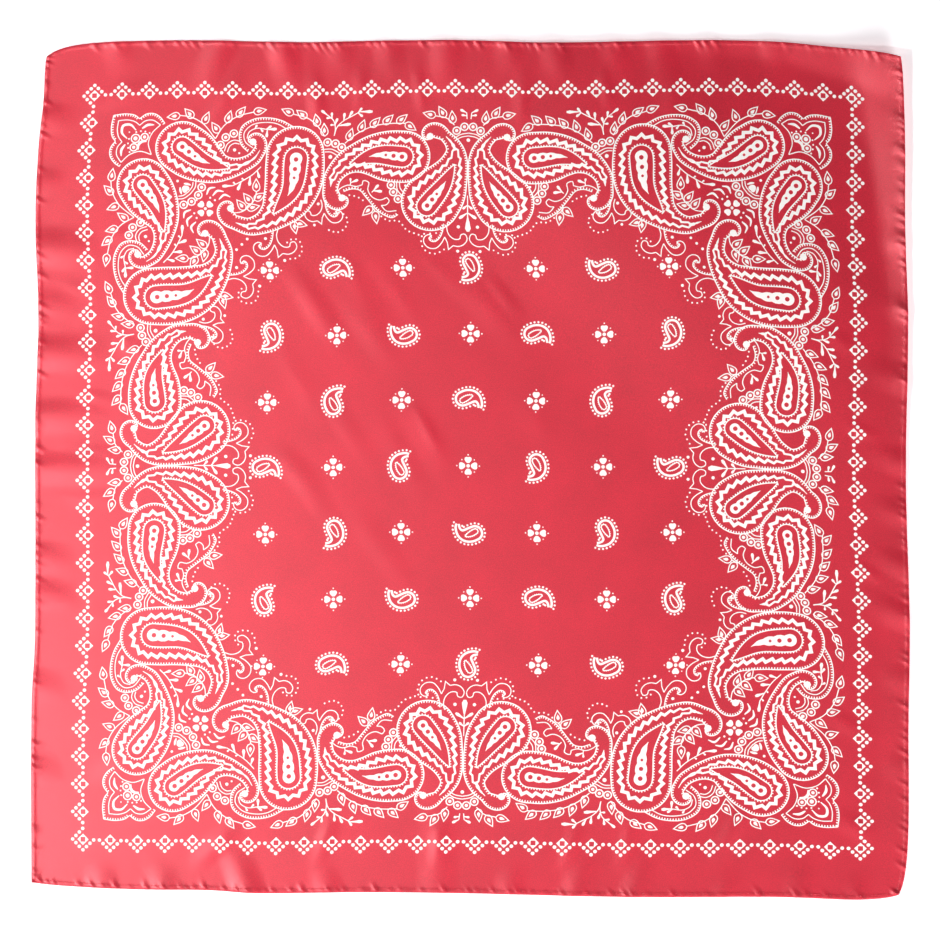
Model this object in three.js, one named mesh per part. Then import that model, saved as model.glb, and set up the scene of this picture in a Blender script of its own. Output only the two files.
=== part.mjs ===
// A square bandana of thin satin, spread out on a table.
//
// It is one cut of cloth. Its four raw edges are rolled under and sewn, so each side ends in a
// narrow hem that is about twice as thick as the cloth. The panel and the four hems are separate
// solids, a seam gap apart. Units are millimetres, +Z is up, and the table is z = 0.
//
// Everything is first placed on the flat square: s runs to the right and t runs away from the
// viewer, both from the middle of the cloth. plan() says where such a point lies on the table, and
// lift() how far the underside is off the table there, which is zero wherever the cloth rests.

import * as THREE from "three";

// Driving sizes
const HALF = 273.5; // half of the finished square
const STRETCH_X = 1.0128; // the satin lies a little wide ...
const STRETCH_Y = 0.9883; // ... and a little short
const WALL = 1.0; // thickness of the panel
const HEM_WIDTH = 3.4;
const HEM_HEIGHT = 2.0;
const SEAM_GAP = 0.3;

// How far each side wanders out from the straight line. "at" is the place along the side, "out" is
// the wander there. It fades evenly across the cloth, to nothing at the opposite side.
const WANDER = {
  left: [
    { at: -274, out: 2.5 },
    { at: -160, out: 2.5 },
    { at: -110, out: 0.2 },
    { at: 30, out: 0 },
    { at: 95, out: -1.9 },
    { at: 160, out: 0 },
    { at: 206, out: -1.9 },
    { at: 238, out: -5.1 },
    { at: 274, out: -5.6 },
  ],
  right: [
    { at: -274, out: -0.3 },
    { at: -225, out: 1.2 },
    { at: -160, out: 1.1 },
    { at: -97, out: 1.9 },
    { at: 0, out: -0.6 },
    { at: 100, out: 0.6 },
    { at: 158, out: -1.3 },
    { at: 215, out: -1.5 },
    { at: 274, out: -3 },
  ],
  top: [
    { at: -274, out: -1.5 },
    { at: -225, out: 0.3 },
    { at: -178, out: 0.9 },
    { at: -107, out: -0.3 },
    { at: -63, out: 0.6 },
    { at: -7, out: 0.9 },
    { at: 48, out: -0.6 },
    { at: 149, out: 0.9 },
    { at: 196, out: -0.3 },
    { at: 227, out: -3.3 },
    { at: 274, out: -7.5 },
  ],
  bottom: [
    { at: -274, out: -4.6 },
    { at: -210, out: -1.6 },
    { at: -163, out: -1 },
    { at: -132, out: 0.9 },
    { at: -69, out: 0.3 },
    { at: -7, out: 0.9 },
    { at: 102, out: 3.4 },
    { at: 196, out: 3.4 },
    { at: 243, out: 5.3 },
    { at: 274, out: 4.7 },
  ],
};

// Each corner is drawn in a little by its hem.
const CORNER_REACH = 12;
const CORNERS = [
  { s: -HALF, t: HALF, dx: 1.7, dy: -7.9 },
  { s: HALF, t: HALF, dx: -1.5, dy: -2.7 },
  { s: HALF, t: -HALF, dx: -5.1, dy: 2.8 },
  { s: -HALF, t: -HALF, dx: 0, dy: 1.5 },
];

// The right side and the top side stand off the table, most of all in the corner between them.
// "up" is the height at the edge, and "wide" the width over which the cloth bends up to it.
const BEND_START = 0.35; // share of that width in which the slope begins
const RISE = {
  right: [
    { at: -274, up: 0.6, wide: 24 },
    { at: -220, up: 1.2, wide: 24 },
    { at: -100, up: 0.8, wide: 20 },
    { at: -30, up: 0.2, wide: 16 },
    { at: 30, up: 0.6, wide: 14 },
    { at: 107, up: 2.4, wide: 15 },
    { at: 171, up: 5, wide: 21 },
    { at: 235, up: 6.6, wide: 33 },
    { at: 274, up: 6.4, wide: 40 },
  ],
  top: [
    { at: -274, up: 0, wide: 12 },
    { at: 80, up: 0, wide: 12 },
    { at: 143, up: 0.8, wide: 12 },
    { at: 190, up: 1.8, wide: 15 },
    { at: 225, up: 3.2, wide: 22 },
    { at: 274, up: 4.4, wide: 34 },
  ],
};

// Ripples that run in from a side and die out. "at" is the place on that side, "lean" how far the
// crest has moved along the side at its inner end, "reach" its length, "half" its half width.
const RIPPLES = [
  { side: "left", at: 225, lean: 0, reach: 26, half: 13, up: 0.9 },
  { side: "left", at: 183, lean: 4, reach: 22, half: 11, up: 0.7 },
  { side: "left", at: 142, lean: -4, reach: 52, half: 16, up: 1.3 },
  { side: "left", at: 104, lean: 0, reach: 30, half: 12, up: 0.7 },
  { side: "left", at: 72, lean: 2, reach: 52, half: 15, up: 1.4 },
  { side: "left", at: 31, lean: 4, reach: 56, half: 14, up: 1.3 },
  { side: "left", at: -3, lean: 3, reach: 80, half: 13, up: 1.2 },
  { side: "left", at: -59, lean: -3, reach: 26, half: 12, up: 0.8 },
  { side: "left", at: -84, lean: -2, reach: 30, half: 12, up: 1 },
  { side: "left", at: -142, lean: -4, reach: 24, half: 13, up: 0.7 },
  { side: "left", at: -196, lean: -5, reach: 22, half: 12, up: 0.7 },
  { side: "top", at: -228, lean: 3, reach: 22, half: 12, up: 0.7 },
  { side: "top", at: -160, lean: -18, reach: 46, half: 14, up: 1.5 },
  { side: "top", at: -123, lean: 8, reach: 40, half: 13, up: 1.2 },
  { side: "top", at: -86, lean: 2, reach: 26, half: 12, up: 0.8 },
  { side: "top", at: -54, lean: 0, reach: 30, half: 12, up: 0.9 },
  { side: "top", at: -17, lean: -3, reach: 40, half: 14, up: 1.3 },
  { side: "top", at: 22, lean: 2, reach: 26, half: 12, up: 0.8 },
  { side: "top", at: 51, lean: 6, reach: 34, half: 13, up: 1.1 },
  { side: "top", at: 90, lean: 2, reach: 30, half: 12, up: 0.9 },
  { side: "top", at: 119, lean: 3, reach: 42, half: 13, up: 1.2 },
  { side: "top", at: 152, lean: 0, reach: 28, half: 12, up: 0.9 },
  { side: "top", at: 190, lean: 3, reach: 26, half: 12, up: 0.8 },
  { side: "right", at: 150, lean: 2, reach: 22, half: 12, up: 0.7 },
  { side: "right", at: 107, lean: 4, reach: 26, half: 12, up: 0.9 },
  { side: "right", at: 61, lean: 8, reach: 34, half: 13, up: 1.2 },
  { side: "right", at: 8, lean: 8, reach: 30, half: 12, up: 1 },
  { side: "right", at: -26, lean: 8, reach: 28, half: 12, up: 0.9 },
  { side: "right", at: -60, lean: 9, reach: 28, half: 12, up: 1 },
  { side: "right", at: -92, lean: 10, reach: 32, half: 13, up: 1.3 },
  { side: "right", at: -133, lean: 4, reach: 24, half: 12, up: 0.8 },
  { side: "right", at: -190, lean: 3, reach: 22, half: 12, up: 0.6 },
  { side: "bottom", at: -228, lean: -5, reach: 22, half: 12, up: 0.6 },
  { side: "bottom", at: -190, lean: -6, reach: 24, half: 12, up: 0.7 },
  { side: "bottom", at: -138, lean: -14, reach: 40, half: 14, up: 1.3 },
  { side: "bottom", at: -88, lean: -5, reach: 24, half: 12, up: 0.7 },
  { side: "bottom", at: -20, lean: 2, reach: 110, half: 12, up: 1.2 },
  { side: "bottom", at: 25, lean: 4, reach: 26, half: 12, up: 0.8 },
  { side: "bottom", at: 66, lean: 9, reach: 38, half: 13, up: 1.1 },
  { side: "bottom", at: 103, lean: 8, reach: 38, half: 13, up: 1.1 },
  { side: "bottom", at: 160, lean: 3, reach: 22, half: 12, up: 0.7 },
  { side: "bottom", at: 207, lean: 0, reach: 30, half: 14, up: 0.9 },
  { side: "bottom", at: 243, lean: 0, reach: 20, half: 11, up: 0.8 },
];

// Folds within the cloth, each a soft ridge from one point to another that fades at both ends.
const FOLDS = [
  { from: [-24, 142], to: [40, 70], half: 15, up: 0.5 },
  { from: [-46, 52], to: [-8, -14], half: 13, up: 0.5 },
  { from: [-118, 134], to: [-80, 72], half: 13, up: 0.35 },
  { from: [-88, 124], to: [-44, 58], half: 13, up: 0.4 },
  { from: [-130, 18], to: [-90, -22], half: 12, up: 0.3 },
];

// The panel has fine rings along its edge, for the ripples, and a coarser even grid within them.
const EDGE_INSETS = [HEM_WIDTH + SEAM_GAP, 12, 21, 31];
const EDGE_STEPS = 72; // along one side, and a hem has as many
const GRID_INSET = 43;
const GRID_STEPS = EDGE_STEPS / 2;

// Section of a hem, from its inner side over the top to the cut edge and back below. "in" is the
// distance from the cloth's edge as a share of HEM_WIDTH, "up" a share of HEM_HEIGHT.
const HEM_SECTION = [
  { in: 1, up: 0 },
  { in: 1, up: 0.6 },
  { in: 0.62, up: 1 },
  { in: 0.2, up: 0.86 },
  { in: 0, up: 0.4 },
  { in: 0.2, up: 0 },
];

const SATIN = { color: 0xd8394f, roughness: 0.42, metalness: 0 };

// A bend: 0 up to 0, then with a soft start a straight rise to 1 at 1.
const bend = (x) => {
  const c = Math.max(0, x);
  const risen = c < BEND_START ? (c * c) / (2 * BEND_START) : c - BEND_START / 2;
  return risen / (1 - BEND_START / 2);
};

// A soft bump: 1 in the middle, 0 with no slope at a distance of 1.
const bump = (x) => (Math.abs(x) < 1 ? Math.cos((Math.PI / 2) * x) ** 2 : 0);

// The value of a table's column at a place, along a smooth curve through its rows.
function along(rows, column, place) {
  const last = rows.length - 1;
  let k = 0;
  while (k < last - 1 && place > rows[k + 1].at) k += 1;
  const slope = (i) => {
    const a = rows[Math.max(0, i - 1)];
    const b = rows[Math.min(last, i + 1)];
    return (b[column] - a[column]) / (b.at - a.at);
  };
  const span = rows[k + 1].at - rows[k].at;
  const u = Math.min(1, Math.max(0, (place - rows[k].at) / span));
  const [a, b] = [rows[k][column], rows[k + 1][column]];
  return (
    a * (2 * u ** 3 - 3 * u ** 2 + 1) +
    b * (3 * u ** 2 - 2 * u ** 3) +
    slope(k) * span * (u ** 3 - 2 * u ** 2 + u) +
    slope(k + 1) * span * (u ** 3 - u ** 2)
  );
}

// How deep a point lies inside each side, and its place along that side.
const depths = (s, t) => ({
  left: { depth: HALF + s, place: t },
  right: { depth: HALF - s, place: t },
  top: { depth: HALF - t, place: s },
  bottom: { depth: HALF + t, place: s },
});

// Where a point of the flat square lies on the table.
function plan(s, t) {
  const sides = depths(s, t);
  const out = (name) => {
    const { depth, place } = sides[name];
    return along(WANDER[name], "out", place) * (1 - depth / (2 * HALF));
  };
  let x = s * STRETCH_X - out("left") + out("right");
  let y = t * STRETCH_Y + out("top") - out("bottom");
  for (const corner of CORNERS) {
    const pull = Math.exp(-Math.hypot(s - corner.s, t - corner.t) / CORNER_REACH);
    x += corner.dx * pull;
    y += corner.dy * pull;
  }
  return [x, y];
}

// How far the underside is off the table at a point of the flat square.
function lift(s, t) {
  const sides = depths(s, t);
  let up = 0;
  for (const name of ["right", "top"]) {
    const { depth, place } = sides[name];
    const wide = along(RISE[name], "wide", place);
    up += Math.max(0, along(RISE[name], "up", place)) * bend(1 - depth / wide);
  }
  for (const ripple of RIPPLES) {
    const { depth, place } = sides[ripple.side];
    const inwards = depth / ripple.reach;
    const crest = ripple.at + ripple.lean * inwards;
    up += ripple.up * bump(inwards) * bump((place - crest) / ripple.half);
  }
  for (const fold of FOLDS) {
    const run = [fold.to[0] - fold.from[0], fold.to[1] - fold.from[1]];
    const length = Math.hypot(...run);
    const [ds, dt] = [s - fold.from[0], t - fold.from[1]];
    const share = (ds * run[0] + dt * run[1]) / length ** 2;
    const aside = (ds * run[1] - dt * run[0]) / length;
    up += fold.up * bump(2 * share - 1) * bump(aside / fold.half);
  }
  return up;
}

// A point of the cloth: flat place, and height over the underside.
function point(s, t, above) {
  const [x, y] = plan(s, t);
  return [x, y, lift(s, t) + above];
}

function solid(points, triangles) {
  const geometry = new THREE.BufferGeometry();
  geometry.setAttribute("position", new THREE.Float32BufferAttribute(points.flat(), 3));
  geometry.setIndex(triangles.flat());
  geometry.computeVertexNormals();
  return geometry;
}

// The corners and sides of a square ring, anticlockwise from its lower left corner.
function ringPlaces(inset, steps) {
  const a = HALF - inset;
  const corners = [[-a, -a], [a, -a], [a, a], [-a, a]];
  return corners.flatMap(([s0, t0], k) => {
    const [s1, t1] = corners[(k + 1) % corners.length];
    return Array.from({ length: steps }, (_, i) => {
      const u = i / steps;
      return [s0 + (s1 - s0) * u, t0 + (t1 - t0) * u];
    });
  });
}

// The panel as a flat net: its places, the outermost ring first, and triangles that face up.
function panelNet() {
  const places = [];
  const triangles = [];
  const addRing = (inset, steps) => {
    const ring = ringPlaces(inset, steps);
    return ring.map((place) => places.push(place) - 1);
  };
  const next = (ring, i) => ring[i % ring.length];

  const rings = EDGE_INSETS.map((inset) => addRing(inset, EDGE_STEPS));
  for (let k = 0; k + 1 < rings.length; k += 1) {
    const [outer, inner] = [rings[k], rings[k + 1]];
    for (let i = 0; i < outer.length; i += 1) {
      const [a, b, p, q] = [outer[i], next(outer, i + 1), inner[i], next(inner, i + 1)];
      triangles.push([a, b, p], [b, q, p]);
    }
  }

  const fine = rings.at(-1);
  const frame = addRing(GRID_INSET, GRID_STEPS);
  for (let i = 0; i < frame.length; i += 1) {
    const [a, b, c] = [fine[2 * i], fine[2 * i + 1], next(fine, 2 * i + 2)];
    const [p, q] = [frame[i], next(frame, i + 1)];
    triangles.push([a, b, p], [b, q, p], [b, c, q]);
  }

  // Row by row, the grid takes its border from the frame and adds the places within it.
  const n = GRID_STEPS;
  const step = (2 * (HALF - GRID_INSET)) / n;
  const gridPoint = (i, j) => {
    if (j === 0) return frame[i];
    if (i === n) return frame[n + j];
    if (j === n) return frame[3 * n - i];
    if (i === 0) return frame[4 * n - j];
    return places.push([(i - n / 2) * step, (j - n / 2) * step]) - 1;
  };
  const grid = Array.from({ length: n + 1 }, (_, j) =>
    Array.from({ length: n + 1 }, (_, i) => gridPoint(i, j)));
  for (let j = 0; j < n; j += 1) {
    for (let i = 0; i < n; i += 1) {
      const [a, b, c, d] = [grid[j][i], grid[j][i + 1], grid[j + 1][i + 1], grid[j + 1][i]];
      triangles.push([a, b, d], [b, c, d]);
    }
  }
  return { places, triangles };
}

// The panel: the net twice, a wall apart, closed along its outermost ring.
function panelGeometry() {
  const { places, triangles } = panelNet();
  const count = places.length;
  const below = places.map(([s, t]) => point(s, t, 0));
  const above = places.map(([s, t]) => point(s, t, WALL));
  const faces = triangles.flatMap(([a, b, c]) => [
    [a, c, b],
    [a + count, b + count, c + count],
  ]);
  const round = 4 * EDGE_STEPS;
  for (let i = 0; i < round; i += 1) {
    const j = (i + 1) % round;
    faces.push([i, j, j + count], [i, j + count, i + count]);
  }
  return solid([...below, ...above], faces);
}

// A hem: its section carried along one side and mitred at both corners. flatPlace turns a place
// along the side and a distance in from the edge into s and t.
function hemGeometry(flatPlace) {
  const points = [];
  const faces = [];
  const sides = HEM_SECTION.length;
  const mitre = SEAM_GAP / Math.SQRT2;
  for (let i = 0; i <= EDGE_STEPS; i += 1) {
    for (const corner of HEM_SECTION) {
      const inset = corner.in * HEM_WIDTH;
      const place = (2 * (i / EDGE_STEPS) - 1) * (HALF - inset - mitre);
      points.push(point(...flatPlace(place, inset), corner.up * HEM_HEIGHT));
    }
  }
  const at = (i, j) => i * sides + (j % sides);
  for (let i = 0; i < EDGE_STEPS; i += 1) {
    for (let j = 0; j < sides; j += 1) {
      const [a, b, c, d] = [at(i, j), at(i, j + 1), at(i + 1, j + 1), at(i + 1, j)];
      faces.push([a, b, c], [a, c, d]);
    }
  }
  const end = (j) => at(EDGE_STEPS, j);
  for (let j = 1; j + 1 < sides; j += 1) {
    faces.push([at(0, 0), at(0, j + 1), at(0, j)], [end(0), end(j), end(j + 1)]);
  }
  return solid(points, faces);
}

// Each hem's place runs anticlockwise round the cloth, so that all four are one shape turned.
const HEMS = {
  hem_bottom: (place, inset) => [place, -HALF + inset],
  hem_right: (place, inset) => [HALF - inset, place],
  hem_top: (place, inset) => [-place, HALF - inset],
  hem_left: (place, inset) => [-HALF + inset, -place],
};

const pieces = new THREE.Group();

function add(name, geometry) {
  const mesh = new THREE.Mesh(geometry, new THREE.MeshStandardMaterial(SATIN));
  mesh.name = name;
  pieces.add(mesh);
}

add("panel", panelGeometry());
for (const [name, flatPlace] of Object.entries(HEMS)) {
  add(name, hemGeometry(flatPlace));
}

// The origin is under the middle of the whole cloth's box, on the table.
const box = new THREE.Box3().setFromObject(pieces);
const middle = box.getCenter(new THREE.Vector3());
pieces.position.set(-middle.x, -middle.y, -box.min.z);

const bandana = new THREE.Group();
bandana.add(pieces);

export default bandana;
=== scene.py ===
# %% [markdown]
# # A printed satin bandana, spread out on a table
# The bandana is one square of thin red satin. Its edges are rolled under and sewn, and a white
# paisley print covers it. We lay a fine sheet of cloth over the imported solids, roll the hems, sew
# them, and then draw the print from a few simple shapes that are mirrored round the middle.
# Sizes are in millimetres until a mesh is made, because cloth is thought of in millimetres.

import math

import bpy
import numpy as np
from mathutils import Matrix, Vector
from mathutils.geometry import delaunay_2d_cdt


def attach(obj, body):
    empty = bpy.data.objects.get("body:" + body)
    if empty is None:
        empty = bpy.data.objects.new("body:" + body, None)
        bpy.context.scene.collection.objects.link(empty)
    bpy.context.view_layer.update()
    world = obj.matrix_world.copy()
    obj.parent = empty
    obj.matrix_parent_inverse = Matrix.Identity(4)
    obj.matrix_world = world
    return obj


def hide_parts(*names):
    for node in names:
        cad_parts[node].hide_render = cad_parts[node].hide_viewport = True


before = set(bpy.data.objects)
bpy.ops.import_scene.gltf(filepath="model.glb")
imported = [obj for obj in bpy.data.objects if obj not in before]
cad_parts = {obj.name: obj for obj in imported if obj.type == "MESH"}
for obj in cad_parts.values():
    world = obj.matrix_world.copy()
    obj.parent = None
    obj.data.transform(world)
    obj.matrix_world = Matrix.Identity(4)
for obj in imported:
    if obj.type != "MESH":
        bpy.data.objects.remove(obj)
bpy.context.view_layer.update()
MM = 0.001
print("packed solids:", ", ".join(sorted(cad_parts)))

# %% [markdown]
# ## The camera
# The cloth is seen from straight above. A long lens far away keeps the raised corner in its place,
# as a short lens would push it outwards. The view is as wide as the photograph's is on the cloth.

# %% Camera
VIEW_WIDTH = 597.8
CAMERA_HEIGHT = 3000
SENSOR = 36

camera = bpy.data.objects.new("camera", bpy.data.cameras.new("camera"))
camera.data.sensor_width = SENSOR
camera.data.lens = SENSOR * CAMERA_HEIGHT / VIEW_WIDTH
camera.data.clip_end = 100
camera.location = (-0.3 * MM, 0, CAMERA_HEIGHT * MM)
bpy.context.scene.collection.objects.link(camera)
bpy.context.scene.camera = camera
print(f"camera: a {camera.data.lens:.0f} mm lens, {CAMERA_HEIGHT / 1000:g} m above the cloth")

# %% [markdown]
# ## The form of the cloth
# Every point of the cloth has a place on the flat square: s to the right and t away from us, from
# the middle. Two functions say where it lies: `plan` gives its place on the table, and `lift` how
# far it stands off it. They are the same as in the part's source, so the sheet lies on its solid.
# The sides wander a little, the satin ripples where the hem holds it, and one corner stands up.

# %% Sizes of the cloth
HALF = 273.5
STRETCH_X, STRETCH_Y = 1.0128, 0.9883
CORNER_REACH = 12

# (place along the side, distance out)
WANDER = {
    "left": [(-274, 2.5), (-160, 2.5), (-110, 0.2), (30, 0), (95, -1.9), (160, 0), (206, -1.9),
             (238, -5.1), (274, -5.6)],
    "right": [(-274, -0.3), (-225, 1.2), (-160, 1.1), (-97, 1.9), (0, -0.6), (100, 0.6),
              (158, -1.3), (215, -1.5), (274, -3)],
    "top": [(-274, -1.5), (-225, 0.3), (-178, 0.9), (-107, -0.3), (-63, 0.6), (-7, 0.9),
            (48, -0.6), (149, 0.9), (196, -0.3), (227, -3.3), (274, -7.5)],
    "bottom": [(-274, -4.6), (-210, -1.6), (-163, -1), (-132, 0.9), (-69, 0.3), (-7, 0.9),
               (102, 3.4), (196, 3.4), (243, 5.3), (274, 4.7)],
}
# (s, t, pull in x, pull in y)
CORNERS = [
    (-HALF, HALF, 1.7, -7.9), (HALF, HALF, -1.5, -2.7),
    (HALF, -HALF, -5.1, 2.8), (-HALF, -HALF, 0, 1.5),
]
# (place along the side, height at the edge, width of the bend)
RISE = {
    "right": [(-274, 0.6, 24), (-220, 1.2, 24), (-100, 0.8, 20), (-30, 0.2, 16), (30, 0.6, 14),
              (107, 2.4, 15), (171, 5, 21), (235, 6.2, 34), (274, 5.2, 46)],
    "top": [(-274, 0, 12), (80, 0, 12), (143, 0.8, 12), (190, 1.8, 15), (225, 3, 22),
            (274, 3.6, 38)],
}
BEND_START = 0.35
# (side, place along it, lean, reach, half width, height)
RIPPLES = [
    ("left", 225, 0, 26, 13, 0.9), ("left", 183, 4, 22, 11, 0.7), ("left", 142, -4, 52, 16, 1.3),
    ("left", 104, 0, 30, 12, 0.7), ("left", 72, 2, 52, 15, 1.4), ("left", 31, 4, 56, 14, 1.3),
    ("left", -3, 3, 80, 13, 1.2), ("left", -59, -3, 26, 12, 0.8), ("left", -84, -2, 30, 12, 1),
    ("left", -142, -4, 24, 13, 0.7), ("left", -196, -5, 22, 12, 0.7),
    ("top", -228, 3, 22, 12, 0.7), ("top", -160, -18, 46, 14, 1.5), ("top", -123, 8, 40, 13, 1.2),
    ("top", -86, 2, 26, 12, 0.8), ("top", -54, 0, 30, 12, 0.9), ("top", -17, -3, 40, 14, 1.3),
    ("top", 22, 2, 26, 12, 0.8), ("top", 51, 6, 34, 13, 1.1), ("top", 90, 2, 30, 12, 0.9),
    ("top", 119, 3, 42, 13, 1.2), ("top", 152, 0, 28, 12, 0.9), ("top", 190, 3, 26, 12, 0.8),
    ("right", 150, 2, 22, 12, 0.7), ("right", 107, 4, 26, 12, 0.9), ("right", 61, 8, 34, 13, 1.2),
    ("right", 8, 8, 30, 12, 1), ("right", -26, 8, 28, 12, 0.9), ("right", -60, 9, 28, 12, 1),
    ("right", -92, 10, 32, 13, 1.3), ("right", -133, 4, 24, 12, 0.8),
    ("right", -190, 3, 22, 12, 0.6),
    ("bottom", -228, -5, 22, 12, 0.6), ("bottom", -190, -6, 24, 12, 0.7),
    ("bottom", -138, -14, 40, 14, 1.3), ("bottom", -88, -5, 24, 12, 0.7),
    ("bottom", -20, 2, 110, 15, 0.6), ("bottom", 25, 4, 26, 12, 0.8),
    ("bottom", 66, 9, 38, 13, 1.1), ("bottom", 103, 8, 38, 13, 1.1),
    ("bottom", 160, 3, 22, 12, 0.7), ("bottom", 207, 0, 30, 14, 0.9),
    ("bottom", 243, 0, 20, 11, 0.8),
]
# (from, to, half width, height)
FOLDS = [
    ((-24, 142), (40, 70), 15, 0.4), ((-46, 52), (-8, -14), 14, 0.25),
    ((-118, 134), (-80, 72), 13, 0.35), ((-88, 124), (-44, 58), 13, 0.4),
    ((-130, 18), (-90, -22), 12, 0.3),
]


# %% Place and height of a point of the cloth
def smooth(x):
    c = np.clip(x, 0, 1)
    return c * c * (3 - 2 * c)


def bump(x):
    """1 in the middle, and 0 with no slope at a distance of 1."""
    return np.where(np.abs(x) < 1, np.cos(np.pi / 2 * np.clip(x, -1, 1)) ** 2, 0)


def bend(x):
    """0 up to 0, then with a soft start a straight rise to 1 at 1."""
    c = np.maximum(0, x)
    risen = np.where(c < BEND_START, c**2 / (2 * BEND_START), c - BEND_START / 2)
    return risen / (1 - BEND_START / 2)


def along(rows, place, column=1):
    """The value at a place, on a smooth curve through a table of places and values."""
    at, value = np.array(rows, float)[:, [0, column]].T
    last = len(at) - 1
    k = np.clip(np.searchsorted(at, place, side="right") - 1, 0, last - 1)

    def slope(i):
        before, after = np.maximum(0, i - 1), np.minimum(last, i + 1)
        return (value[after] - value[before]) / (at[after] - at[before])

    span = at[k + 1] - at[k]
    u = np.clip((place - at[k]) / span, 0, 1)
    return (
        value[k] * (2 * u**3 - 3 * u**2 + 1)
        + value[k + 1] * (3 * u**2 - 2 * u**3)
        + slope(k) * span * (u**3 - 2 * u**2 + u)
        + slope(k + 1) * span * (u**3 - u**2)
    )


def depths(s, t):
    """How deep a point lies inside each side, and its place along that side."""
    return {
        "left": (HALF + s, t), "right": (HALF - s, t),
        "top": (HALF - t, s), "bottom": (HALF + t, s),
    }


def plan_from_middle(s, t):
    sides = depths(s, t)

    def out(name):
        depth, place = sides[name]
        return along(WANDER[name], place) * (1 - depth / (2 * HALF))

    x = s * STRETCH_X - out("left") + out("right")
    y = t * STRETCH_Y + out("top") - out("bottom")
    for corner_s, corner_t, dx, dy in CORNERS:
        pull = np.exp(-np.hypot(s - corner_s, t - corner_t) / CORNER_REACH)
        x, y = x + dx * pull, y + dy * pull
    return x, y


def edge_places(count):
    """Places along the cloth's four edges."""
    u = np.linspace(-HALF, HALF, count)
    edge = np.full(count, HALF)
    return np.concatenate([u, u, edge, -edge]), np.concatenate([edge, -edge, u, u])


EDGE_X, EDGE_Y = plan_from_middle(*edge_places(2000))
MIDDLE_X, MIDDLE_Y = (EDGE_X.min() + EDGE_X.max()) / 2, (EDGE_Y.min() + EDGE_Y.max()) / 2


def plan(s, t):
    """Where a point of the flat square lies, from the middle of the whole cloth's box."""
    x, y = plan_from_middle(s, t)
    return x - MIDDLE_X, y - MIDDLE_Y


def ridge(s, t, start, end, half, up):
    """A soft ridge from one point to another that fades at both ends."""
    run = np.subtract(end, start)
    length = np.hypot(*run)
    ds, dt = s - start[0], t - start[1]
    share = (ds * run[0] + dt * run[1]) / length**2
    aside = (ds * run[1] - dt * run[0]) / length
    return up * bump(2 * share - 1) * bump(aside / half)


def ripple(s, t, side, at, lean, reach, half, up):
    """A ridge that runs in from a side and dies out."""
    depth, place = depths(s, t)[side]
    inwards = depth / reach
    return up * bump(inwards) * bump((place - at - lean * inwards) / half)


def lift(s, t):
    sides = depths(s, t)
    up = np.zeros(np.shape(s))
    for name, rows in RISE.items():
        depth, place = sides[name]
        up += np.maximum(0, along(rows, place)) * bend(1 - depth / along(rows, place, 2))
    for row in RIPPLES:
        up += ripple(s, t, *row)
    for row in FOLDS:
        up += ridge(s, t, *row)
    return up


print(f"the cloth spans {np.ptp(EDGE_X):.1f} by {np.ptp(EDGE_Y):.1f} mm on the table")

# %% [markdown]
# ## Finer creases
# A solid shows the larger folds, and thin satin has finer ones between them. The thread of the hem
# is a little short for the cloth, so the cloth puckers beside it in small slanting gathers, and soft
# creases are left in the middle from folding. Each is again a low ridge with a place, a length and
# a height, and none is like its neighbour. They are cut in the sheet itself, because a bump in
# the shader would vanish at the edge.

# %% Creases and puckers
PUCKER_PITCH = 4.9
PUCKER_DEPTH = 5.5
PUCKER_HEIGHT = 0.6
PUCKER_SLANT = 0.55
PUCKER_SIDES = {"left": 1, "right": -1, "top": -1, "bottom": 1}
rng = np.random.default_rng(7)
PUCKER_LEVELS = {side: 0.15 + rng.uniform(0, 1, 130) ** 2 for side in PUCKER_SIDES}
PUCKER_SHIFTS = {side: rng.uniform(-1.5, 1.5, 130) for side in PUCKER_SIDES}


def puckers(s, t):
    """How high the small slanting gathers beside the hem stand, and a mask of painted shade for the
    valleys between them.
    """
    up, tuck_shade = np.zeros(np.shape(s)), np.zeros(np.shape(s))
    for side, slant in PUCKER_SIDES.items():
        depth, place = depths(s, t)[side]
        rise = np.maximum(0, along(RISE[side], place)) if side in RISE else 0
        place = place + slant * PUCKER_SLANT * depth
        k = np.clip(np.round((place + HALF) / PUCKER_PITCH).astype(int), 0, 128)
        for j in (k - 1, k, k + 1):
            j = np.clip(j, 0, 129)
            crest = j * PUCKER_PITCH - HALF + PUCKER_SHIFTS[side][j]
            reach = PUCKER_DEPTH * (0.5 + PUCKER_LEVELS[side][j]) * (1 + 0.07 * rise)
            fade = smooth(1 - depth / reach)
            level = PUCKER_LEVELS[side][j] * (1 + 0.05 * rise)
            up += level * fade * bump((place - crest) / (0.5 * PUCKER_PITCH))
            valley = crest + 0.5 * PUCKER_PITCH
            # A mask for painted shade: the satin is darkened in the valley between two gathers, just in
            # from the edge.
            tuck_shade += level * fade * smooth(depth) * bump((place - valley) / (0.36 * PUCKER_PITCH))
    return PUCKER_HEIGHT * up, tuck_shade


# Broad swells: (from, to, half width, height)
SWELLS = [((-60, 350), (350, -60), 125, 5), ((-250, 60), (30, 190), 60, 1)]
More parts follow.
